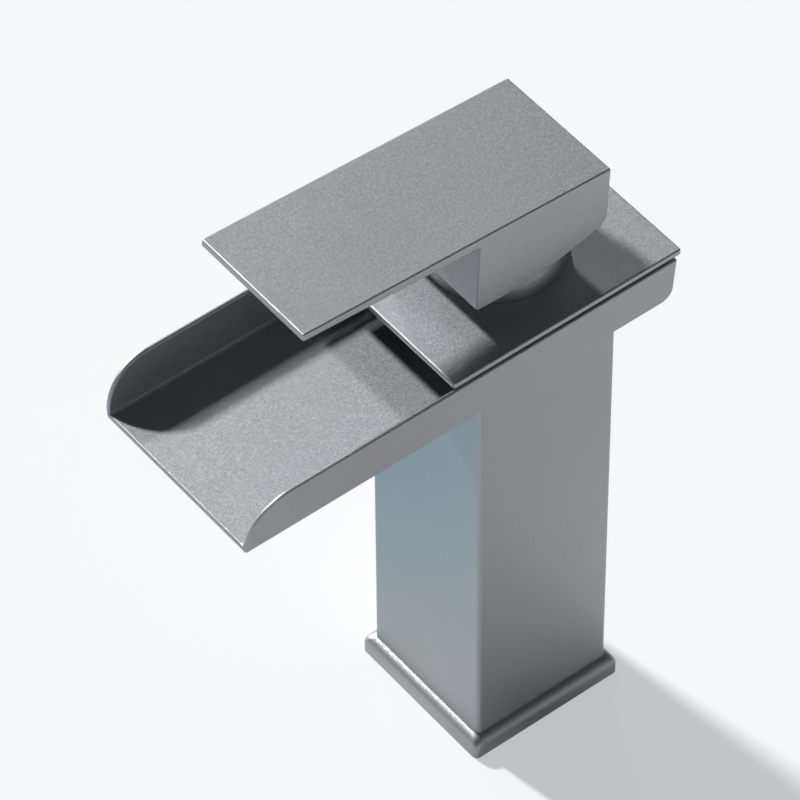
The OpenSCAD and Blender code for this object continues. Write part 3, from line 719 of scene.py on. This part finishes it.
class FAUCET_OT_column(PieceOperator, bpy.types.Operator):
    """Model the square pillar with its hose space, stud boss and valve neck"""

    bl_idname = "faucet.column"
    bl_label = "Column"

    def execute(self, context):
        sizes = context.scene.faucet.column
        bm = bmesh.new()
        self.shell(bm, sizes)
        self.neck(bm, sizes)
        self.boss(bm, sizes)
        tidy(bm)
        dress(built(bm, "column"), "root", "gunmetal", "pillar")
        return {"FINISHED"}

    def shell(self, bm, sizes):
        """The square tube, closed at the top and by the seat block inside."""
        outer_foot = square(bm, sizes.width, sizes.edge, sizes.foot)
        outer_top = raised(bm, outer_foot, sizes.top - sizes.foot)
        lid = bmesh.ops.contextual_create(bm, geom=outer_top)["faces"]
        inner = sizes.width - 2 * sizes.wall
        seat = list(plan(bm, inner, inner, sizes.cavity_edge, sizes.seat).edges)
        inner_foot = raised(bm, seat, sizes.foot - sizes.seat)
        bmesh.ops.bridge_loops(bm, edges=outer_foot + inner_foot)
        rim = [e for f in lid for e in f.edges] + outer_foot
        round_edges(bm, rim, RIM_BREAK, RIM_STEPS)

    def neck(self, bm, sizes):
        """The round neck that the cartridge sits in, with the water slot at its front."""
        ring = bmesh.new()
        slot_low = GASKET_HIGH.z + bpy.context.scene.faucet.tray.floor
        slot_high = slot_low + sizes.slot_height
        low, high = sizes.top - OVER, sizes.neck_top
        spun(ring, profile_loop(ring, [
            (sizes.neck, low), (sizes.neck, slot_low), (sizes.neck, slot_high),
            (sizes.neck, high), (sizes.neck_bore, high), (sizes.neck_bore, slot_high),
            (sizes.neck_bore, slot_low), (sizes.neck_bore, low)]))
        for side in (-1, 1):
            bmesh.ops.bisect_plane(ring, geom=everything(ring), dist=MERGE, plane_no=X,
                                   plane_co=(side * sizes.slot_width / 2, 0, 0))
        window = [f for f in ring.faces if self.in_slot(f, sizes, slot_low, slot_high)]
        bmesh.ops.delete(ring, geom=window, context="FACES")
        bmesh.ops.bridge_loops(ring, edges=[e for e in ring.edges if e.is_boundary])
        tidy(ring)
        join(bm, ring)

    def in_slot(self, face, sizes, low, high):
        """Whether a face of the neck lies across the water slot."""
        middle = face.calc_center_median()
        return (abs(face.normal.z) < 0.5 and middle.y < 0
                and abs(middle.x) < sizes.slot_width / 2 and low < middle.z < high)

    def boss(self, bm, sizes):
        """The boss inside the foot that holds the stud, joined to the rear wall."""
        low, wall_y = sizes.foot + sizes.boss_lift, sizes.width / 2 - sizes.wall / 2
        face, _ = arc_face(
            bm, (sizes.boss, STUD_CENTRE.y, low), (0, STUD_CENTRE.y, 0), Z, -pi, ARC_STEPS,
            [(-sizes.boss, wall_y, low), (sizes.boss, wall_y, low)])
        extruded(bm, face, (0, 0, sizes.boss_height))


class FAUCET_OT_tray(PieceOperator, bpy.types.Operator):
    """Model the open spout tray with its splayed walls"""

    bl_idname = "faucet.tray"
    bl_label = "Spout tray"

    def execute(self, context):
        sizes = context.scene.faucet.tray
        bm = bmesh.new()
        self.skin(bm, sizes, 0.0, TRAY_LOW.z, sizes.rear_corner, sizes.outer_bend)
        self.skin(bm, sizes, sizes.wall, TRAY_LOW.z + sizes.floor,
                  sizes.rear_corner - sizes.wall, sizes.inner_bend)
        rim = [e for e in bm.edges if e.is_boundary]
        bmesh.ops.bridge_loops(bm, edges=rim)
        tidy(bm)
        round_edges(bm, [e for e in rim if e.is_valid], sizes.rim_edge, FINE_STEPS)
        tidy(bm)
        piece = built(bm, "tray")
        low, high = TRAY_LOW.z - OVER, TRAY_LOW.z + sizes.floor + OVER
        cut(piece, [cylinder(sizes.neck_hole, low, high, steps=ROUND_STEPS)] + [
            cylinder(sizes.screw_hole, low, high, x * sizes.screw_place, y * sizes.screw_place)
            for x in (-1, 1) for y in (-1, 1)])
        dress(piece, "root", "gunmetal", "spout_tray")
        return {"FINISHED"}

    def skin(self, bm, sizes, inset, floor_z, rear_r, bend_r):
        """One side of the tray's sheet, open at the lip and the rim."""
        skin = bmesh.new()
        front, rear, rim_z = TRAY_LOW.y, TRAY_HIGH.y - inset, TRAY_HIGH.z
        half = sizes.floor_width / 2 - inset
        side = polygon(skin, [(-half, front, floor_z), (-half, rear, floor_z),
                              (-half, rear, rim_z), (-half, front, rim_z)])
        low_rear, high_front = side.verts[1], side.verts[3]
        round_corner(skin, low_rear, rear_r)
        round_corner(skin, high_front, sizes.tip, 3 * CORNER_STEPS)
        far = bmesh.ops.duplicate(skin, geom=everything(skin))
        shift(skin, (2 * half, 0, 0), verts_of(far["geom"]))
        bends = [e for e in skin.edges if self.below(e, front, rear, floor_z, rim_z)]
        bmesh.ops.bridge_loops(skin, edges=bends)
        bmesh.ops.recalc_face_normals(skin, faces=skin.faces)
        round_edges(skin, bends, bend_r)
        for vert in skin.verts:
            rise = (vert.co.z - TRAY_LOW.z) / (rim_z - TRAY_LOW.z)
            width = sizes.floor_width + (sizes.rim_width - sizes.floor_width) * rise
            vert.co.x *= (width / 2 - inset) / half
        join(bm, skin)

    def below(self, edge, front, rear, floor_z, rim_z):
        """Whether an edge of the side wall runs along the floor or up the rear."""
        middle = (edge.verts[0].co + edge.verts[1].co) / 2
        return (middle.z - floor_z) * (rear - front) < (middle.y - front) * (rim_z - floor_z)


class FAUCET_OT_cover(PieceOperator, bpy.types.Operator):
    """Model the flat cover plate over the rear of the tray"""

    bl_idname = "faucet.cover"
    bl_label = "Cover plate"

    def execute(self, context):
        sizes = context.scene.faucet.cover
        bm = bmesh.new()
        size = COVER_HIGH - COVER_LOW
        extruded(bm, plan(bm, size.x, size.y, sizes.corner, COVER_LOW.z), (0, 0, size.z))
        soften(bm, sizes.edge)
        shift(bm, (0, (COVER_LOW.y + COVER_HIGH.y) / 2, 0))
        piece = built(bm, "cover")
        cut(piece, [cylinder(sizes.hole, COVER_LOW.z - OVER, COVER_HIGH.z + OVER,
                             steps=ROUND_STEPS)])
        dress(piece, "root", "gunmetal", "cover_plate")
        return {"FINISHED"}


class FAUCET_OT_dome(PieceOperator, bpy.types.Operator):
    """Model the spherical collar that the lever rocks over"""

    bl_idname = "faucet.dome"
    bl_label = "Dome collar"

    def execute(self, context):
        sizes = context.scene.faucet.dome
        outer, inner = sizes.radius, sizes.radius - sizes.wall
        foot = DOME_LOW.z - PIVOT.z
        foot_r = sqrt(outer ** 2 - foot ** 2)
        thread_top = sqrt(inner ** 2 - sizes.thread ** 2)
        bm = bmesh.new()
        outside = self.arc(bm, (foot_r, foot), asin(foot / outer), self.mouth(outer, sizes),
                           DOME_STEPS[0])
        inside = self.arc(bm, (sizes.thread, thread_top), asin(thread_top / inner),
                          self.mouth(inner, sizes), DOME_STEPS[1])
        thread_foot = bm.verts.new((sizes.thread, 0, foot))
        for pair in ((outside[0], thread_foot), (thread_foot, inside[0]),
                     (outside[-1], inside[-1])):
            bm.edges.new(pair)
        spun(bm, list(bm.edges))
        soften(bm, sizes.edge, FINE_STEPS)
        shift(bm, PIVOT)
        dress(built(bm, "dome"), "root", "gunmetal", "dome_collar")
        return {"FINISHED"}

    def mouth(self, radius, sizes):
        """The height angle at which a sphere about the pivot reaches the mouth."""
        return pi / 2 - asin(sizes.mouth / radius)

    def arc(self, bm, start, low, high, steps):
        """Turns a point up round the pivot and gives the arc's points in order."""
        first = bm.verts.new((start[0], 0, start[1]))
        bmesh.ops.spin(bm, geom=[first], cent=(0, 0, 0), axis=Y, angle=low - high, steps=steps)
        run = [first]
        for _ in range(steps):
            ends = [e.other_vert(run[-1]) for e in run[-1].link_edges]
            run += [vert for vert in ends if vert not in run]
        return run


class FAUCET_OT_lever(PieceOperator, bpy.types.Operator):
    """Model the cast lever: a flat blade on a block that is hollow over the dome"""

    bl_idname = "faucet.lever"
    bl_label = "Lever"

    def execute(self, context):
        settings = context.scene.faucet
        sizes = settings.lever
        bm = bmesh.new()
        extruded(bm, self.side(bm, sizes), (sizes.width, 0, 0))
        soften(bm, sizes.edge)
        turn(bm, -sizes.tilt, "X")
        shift(bm, PIVOT)
        piece = built(bm, "lever")
        cut(piece, self.hollows(sizes, settings.plug))
        dress(piece, "lever", "gunmetal", "lever_handle")
        return {"FINISHED"}

    def side(self, bm, sizes):
        """The lever's side view about the pivot, as a face at its left."""
        left = -sizes.width / 2
        front = sizes.rear - sizes.length
        circle_z = sizes.low + sizes.belly
        start = asin((sizes.block - sizes.belly_front) / sizes.belly)
        last = sizes.rear - sizes.corner - sizes.edge
        sweep = start + asin((last + sizes.belly_front) / sizes.belly)
        belly_front = circle_z - sizes.belly * cos(start)
        belly_rear = circle_z - sqrt(sizes.belly ** 2 - (sizes.rear + sizes.belly_front) ** 2)
        _, rest = arc_face(
            bm, (left, -sizes.block, belly_front), (left, -sizes.belly_front, circle_z), X,
            sweep, BELLY_STEPS, [(left, y, z) for y, z in (
                (sizes.rear, belly_rear), (sizes.rear, sizes.top), (front, sizes.top),
                (front, sizes.top - sizes.blade),
                (-sizes.block, sizes.top - sizes.blade_root))])
        round_corner(bm, rest[0], sizes.corner)
        round_corner(bm, rest[4], sizes.fillet)
        return max(bm.faces, key=lambda f: f.calc_area())

    def hollows(self, sizes, plug):
        """What is taken out of the casting: dome space, stem socket and screw hole."""
        dome = bmesh.new()
        bmesh.ops.create_uvsphere(dome, u_segments=ROUND_STEPS, v_segments=ROUND_STEPS // 2,
                                  radius=sizes.hollow)
        shift(dome, PIVOT)
        reach = sizes.socket / 2
        socket = block((-reach, -reach, PIVOT.z), (reach, reach, PIVOT.z + sizes.socket_top))
        seat_r = (PLUG_HIGH.x - PLUG_LOW.x) / 2 + plug.fit
        return [dome, socket,
                level_cylinder(sizes.screw_hole, 0.0, sizes.rear, PLUG_CENTRE.z, BORE_STEPS),
                level_cylinder(seat_r, PLUG_LOW.y, PLUG_HIGH.y + 2 * OVER, PLUG_CENTRE.z,
                               BORE_STEPS)]


class FAUCET_OT_flange(PieceOperator, bpy.types.Operator):
    """Model the flange with its rolled top edge"""

    bl_idname = "faucet.flange"
    bl_label = "Base flange"

    def execute(self, context):
        sizes = context.scene.faucet.flange
        width, height = 2 * FLANGE_HIGH.x, FLANGE_HIGH.z
        bm = bmesh.new()
        foot = square(bm, width, sizes.corner, 0.0)
        ring = raised(bm, foot, height - sizes.roll)
        for step in range(CORNER_STEPS):
            ring = self.rolled(bm, ring, width, sizes.roll, step)
        mouth = square(bm, sizes.opening, sizes.inner_corner, height)
        inner_foot = raised(bm, mouth, -height)
        bmesh.ops.bridge_loops(bm, edges=ring + mouth)
        bmesh.ops.bridge_loops(bm, edges=foot + inner_foot)
        tidy(bm)
        dress(built(bm, "flange"), "root", "gunmetal", "base_flange")
        return {"FINISHED"}

    def rolled(self, bm, ring, width, roll, step):
        """Carries the edge loop one step up and in round the rolled edge."""
        now, after = (radians(90) * s / CORNER_STEPS for s in (step, step + 1))
        ring = raised(bm, ring, roll * (sin(after) - sin(now)))
        was, becomes = (width - 2 * roll * (1 - cos(a)) for a in (now, after))
        widen(bm, ring, becomes / was)
        return ring


class FAUCET_OT_clamp(PieceOperator, bpy.types.Operator):
    """Model the threaded stud and its nut below the deck"""

    bl_idname = "faucet.clamp"
    bl_label = "Stud and nut"

    def execute(self, context):
        sizes = context.scene.faucet.clamp
        bm = bmesh.new()
        self.thread(bm, sizes)
        dress(built(bm, "stud"), "root", "steel", "mounting_stud")
        self.nut(sizes)
        return {"FINISHED"}

    def thread(self, bm, sizes):
        """Winds one turn's profile up the stud, cuts both ends level and closes them."""
        crest = (STUD_HIGH.x - STUD_LOW.x) / 2
        low, high = STUD_LOW.z, STUD_HIGH.z
        turns = int((high - low) / sizes.pitch) + SPARE_TURNS
        verts = [bm.verts.new((crest - (1 - out) * sizes.depth, 0,
                               low + (rise - SPARE_TURNS / 2) * sizes.pitch))
                 for out, rise in THREAD_SHAPE]
        profile = [bm.edges.new(pair) for pair in zip(verts, verts[1:])]
        bmesh.ops.spin(bm, geom=profile, cent=(0, 0, 0), axis=Z, angle=2 * pi * turns,
                       dvec=(0, 0, sizes.pitch / ARC_STEPS), steps=ARC_STEPS * turns)
        bmesh.ops.remove_doubles(bm, verts=bm.verts, dist=MERGE)
        end_low = low + sizes.tip
        for height, normal in ((end_low, -Z), (high, Z)):
            bmesh.ops.bisect_plane(bm, geom=everything(bm), dist=MERGE, clear_outer=True,
                                   plane_co=(0, 0, height), plane_no=normal)
        for height in (end_low, high):
            loop = [e for e in bm.edges if e.is_boundary
                    and all(abs(v.co.z - height) < MERGE for v in e.verts)]
            if height == end_low:
                loop = raised(bm, loop, -sizes.tip)
                widen(bm, loop, (crest - sizes.tip) / crest)
            bmesh.ops.contextual_create(bm, geom=loop)
        tidy(bm)
        shift(bm, (STUD_CENTRE.x, STUD_CENTRE.y, 0))

    def nut(self, sizes):
        """A hexagon nut whose corners are cut back by a cone at both faces."""
        across, centre = NUT_HIGH - NUT_LOW, (NUT_LOW + NUT_HIGH) / 2
        corner, top = across.x / 2, across.z / 2
        bm = cylinder(corner, -top, top, steps=6)
        turn(bm, pi / 2, "Z")
        shift(bm, centre)
        piece = built(bm, "nut")
        cone = bmesh.new()
        flat, edge = corner - sizes.chamfer, top - sizes.chamfer * NUT_SLOPE
        spun(cone, profile_loop(cone, [
            (AXIS_GAP, -top), (flat, -top), (corner, -edge), (corner, edge), (flat, top),
            (AXIS_GAP, top)]))
        bmesh.ops.holes_fill(cone, edges=cone.edges)
        shift(cone, centre)
        cut(piece, [cone], "INTERSECT")
        cut(piece, [cylinder(sizes.hole, NUT_LOW.z - OVER, NUT_HIGH.z + OVER, centre.x,
                             centre.y)])
        dress(piece, "clamp", "steel", "clamp_nut")


class FAUCET_OT_plug(PieceOperator, bpy.types.Operator):
    """Model the small index plug at the rear of the lever"""

    bl_idname = "faucet.plug"
    bl_label = "Index plug"

    def execute(self, context):
        sizes = context.scene.faucet.plug
        bm = level_cylinder((PLUG_HIGH.x - PLUG_LOW.x) / 2, PLUG_LOW.y, PLUG_HIGH.y,
                            PLUG_CENTRE.z, BARREL_STEPS)
        soften(bm, sizes.edge)
        tidy(bm)
        dress(built(bm, "plug"), "lever", "index", "index_plug")
        return {"FINISHED"}


class FAUCET_OT_finishes(PieceOperator, bpy.types.Operator):
    """Make the finishes and give them to the frame's own nodes"""

    bl_idname = "faucet.finishes"
    bl_label = "Finishes"

    def execute(self, context):
        settings = context.scene.faucet
        colours = settings.finish
        gunmetal(colours)
        plain_skin("rubber", colours, cloud=(60, 4), clouded=(0.45, 0.75), tone=2.1,
                   grain=(1400, 3, 0.6), rough=(0.62, 0.80), relief=(0.03 * MM, 0.5))
        turned_metal("brass", colours, roughness=0.24, lines=2400)
        turned_metal("steel", colours, roughness=0.28, lines=2000)
        plain_skin("plastic", colours, cloud=(70, 3), clouded=(0.35, 0.7), tone=0.92,
                   grain=(1800, 2, 0.6), rough=(0.42, 0.58), relief=(0.02 * MM, 0.4))
        plain_skin("ceramic", colours, cloud=(120, 3), clouded=(0.35, 0.7), tone=0.93,
                   grain=(2600, 1), rough=(0.16, 0.26), coat=0.3)
        index_gloss(colours, settings.plug)
        for node in frame["nodes"].values():
            for place in node.material_slots:
                slot = place.material.name.split(".")[0]
                if slot not in MATERIALS:
                    raise RuntimeError(f"{node.name} has no finish for {slot}")
                place.material = bpy.data.materials[MATERIALS[slot]]
        return {"FINISHED"}


class FAUCET_OT_stage(PieceOperator, bpy.types.Operator):
    """Set up the pale deck, the key light, the surroundings and the camera"""

    bl_idname = "faucet.stage"
    bl_label = "Stage"

    def execute(self, context):
        settings = context.scene.faucet
        self.deck(settings)
        self.light(settings.view)
        self.surroundings(context.scene, settings.view)
        self.camera(context.scene, settings.view)
        context.scene.view_settings.view_transform = "Standard"
        return {"FINISHED"}

    def deck(self, settings):
        """The floor that the faucet stands on."""
        bm = bmesh.new()
        bmesh.ops.create_grid(bm, x_segments=1, y_segments=1, size=DECK_HALF)
        deck = built(bm, "deck")
        deck.data.materials.append(deck_finish(settings.finish, settings.view))

    def light(self, view):
        """Both lamps, which stand where the shadows in the photograph point from."""
        for name, energy, turn, height in (
                ("key", view.sun, view.sun_turn, view.sun_height),
                ("second", view.second, view.second_turn, view.second_height)):
            data = bpy.data.lights.new(name, "SUN")
            data.energy = energy
            data.angle = view.sun_size
            lamp = new_object(name, data)
            turned = direction(turn, height).to_track_quat("Z", "Y")
            lamp.matrix_world = turned.to_matrix().to_4x4()

    def surroundings(self, scene, view):
        """A studio that is bright at eye level and dark overhead, with a wall in the sun."""
        world = bpy.data.worlds.new("studio")
        scene.world = world
        made = Finish(world)
        place = made.place("Generated")
        height = made.between(made.axis("Z", place), 0.0, 1.0)
        near = made.vector("DOT_PRODUCT", (place, direction(*WALL_AT)), "Value")
        wall = made.between(near, *map(cos, WALL_SPREAD), curve="SMOOTHERSTEP")
        level = view.overhead + view.horizon * (1 - height) ** HORIZON_FALL + view.wall * wall
        sky = made.node("ShaderNodeBackground", {"Color": (1, 1, 1), "Strength": level})
        made.node("ShaderNodeOutputWorld", {"Surface": sky})

    def camera(self, scene, view):
        """The camera at the photograph's place."""
        back = direction(view.azimuth, view.elevation)
        right = Vector((cos(view.azimuth), sin(view.azimuth), 0))
        over = back.cross(right)
        across = cos(view.roll) * right + sin(view.roll) * over
        upward = cos(view.roll) * over - sin(view.roll) * right
        place = Vector((0, -view.aim_front, view.aim_height)) + view.distance * back
        data = bpy.data.cameras.new("camera")
        data.lens = view.lens
        data.clip_start = CLIP_START
        camera = new_object("camera", data)
        turn = Matrix((across, upward, back)).transposed()
        camera.matrix_world = Matrix.Translation(place) @ turn.to_4x4()
        scene.camera = camera


def direction(turn, height):
    """A unit vector, turned from the front about the upright axis and raised."""
    return Vector((sin(turn) * cos(height), -cos(turn) * cos(height), sin(height)))


PIECES = (FAUCET_OT_finishes, FAUCET_OT_column, FAUCET_OT_tray, FAUCET_OT_cover,
          FAUCET_OT_dome, FAUCET_OT_lever, FAUCET_OT_flange, FAUCET_OT_clamp,
          FAUCET_OT_plug, FAUCET_OT_stage)


class FAUCET_PT_panel(bpy.types.Panel):
    """The faucet's operators, in the order in which they are called"""

    bl_idname = "FAUCET_PT_panel"
    bl_label = "Faucet"
    bl_space_type = "VIEW_3D"
    bl_region_type = "UI"
    bl_category = "Faucet"

    def draw(self, context):
        for piece in PIECES:
            self.layout.operator(piece.bl_idname)


CLASSES = (*GROUPS.values(), FaucetSettings, *PIECES, FAUCET_PT_panel)


def register():
    """Registers the classes and hangs the settings on the scene."""
    for made in CLASSES:
        bpy.utils.register_class(made)
    bpy.types.Scene.faucet = PointerProperty(type=FaucetSettings, name="Faucet",
                                             description="Sizes and colours of the faucet")


def unregister():
    """Takes away what register added."""
    del bpy.types.Scene.faucet
    for made in reversed(CLASSES):
        bpy.utils.unregister_class(made)


def main():
    """Builds every piece and the stage."""
    register()
    for piece in PIECES:
        group, name = piece.bl_idname.split(".")
        getattr(getattr(bpy.ops, group), name)()
    bpy.context.view_layer.update()


if __name__ == "__main__":
    main()
